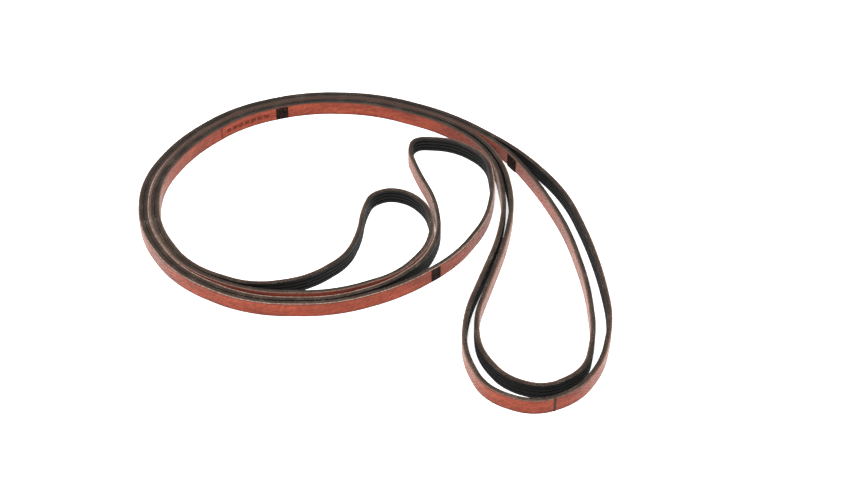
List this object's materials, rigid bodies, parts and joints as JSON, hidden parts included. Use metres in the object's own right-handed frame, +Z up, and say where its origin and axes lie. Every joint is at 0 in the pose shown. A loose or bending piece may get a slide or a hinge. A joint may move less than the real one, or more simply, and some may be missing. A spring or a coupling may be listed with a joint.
{
  "type": "ribbed drive belt",
  "caption": "Endless ribbed rubber drive belt with a woven fabric back, folded into a large round loop with a long bulb and two curls, standing on its cut edge.",
  "frame": {"origin": "on the surface the belt stands on, under the middle of its bounding box", "axes": "+Z up across the belt's width, +Y the longest way across the folded belt, from the bulb towards the loop, +X to the right"},
  "size_m": [0.1974, 0.2125, 0.0063],
  "materials": {
    "fabric": "woven terracotta fabric, rubber rubbed into it",
    "seam": "dark cured glue",
    "gum": "dull grey-black gum, cut edge",
    "cord": "twisted polyester cord",
    "rubber": "ground black rubber, satin",
    "ink": "printed black ink"
  },
  "bodies": {
    "root": {"backing_fabric": "fabric", "fabric_seam": "seam", "tie_gum": "gum", "tension_cord_turn_1": "cord", "tension_cord_turn_2": "cord", "tension_cord_turn_3": "cord", "tension_cord_turn_4": "cord", "tension_cord_turn_5": "cord", "tension_cord_turn_6": "cord", "tension_cord_turn_7": "cord", "tension_cord_turn_8": "cord", "cushion_gum": "gum", "ribbed_rubber": "rubber", "black_mark_curl": "ink", "black_mark_bulb": "ink", "black_mark_loop": "ink", "printed_line": "ink", "printed_dashes": "ink"}
  },
  "joints": []
}
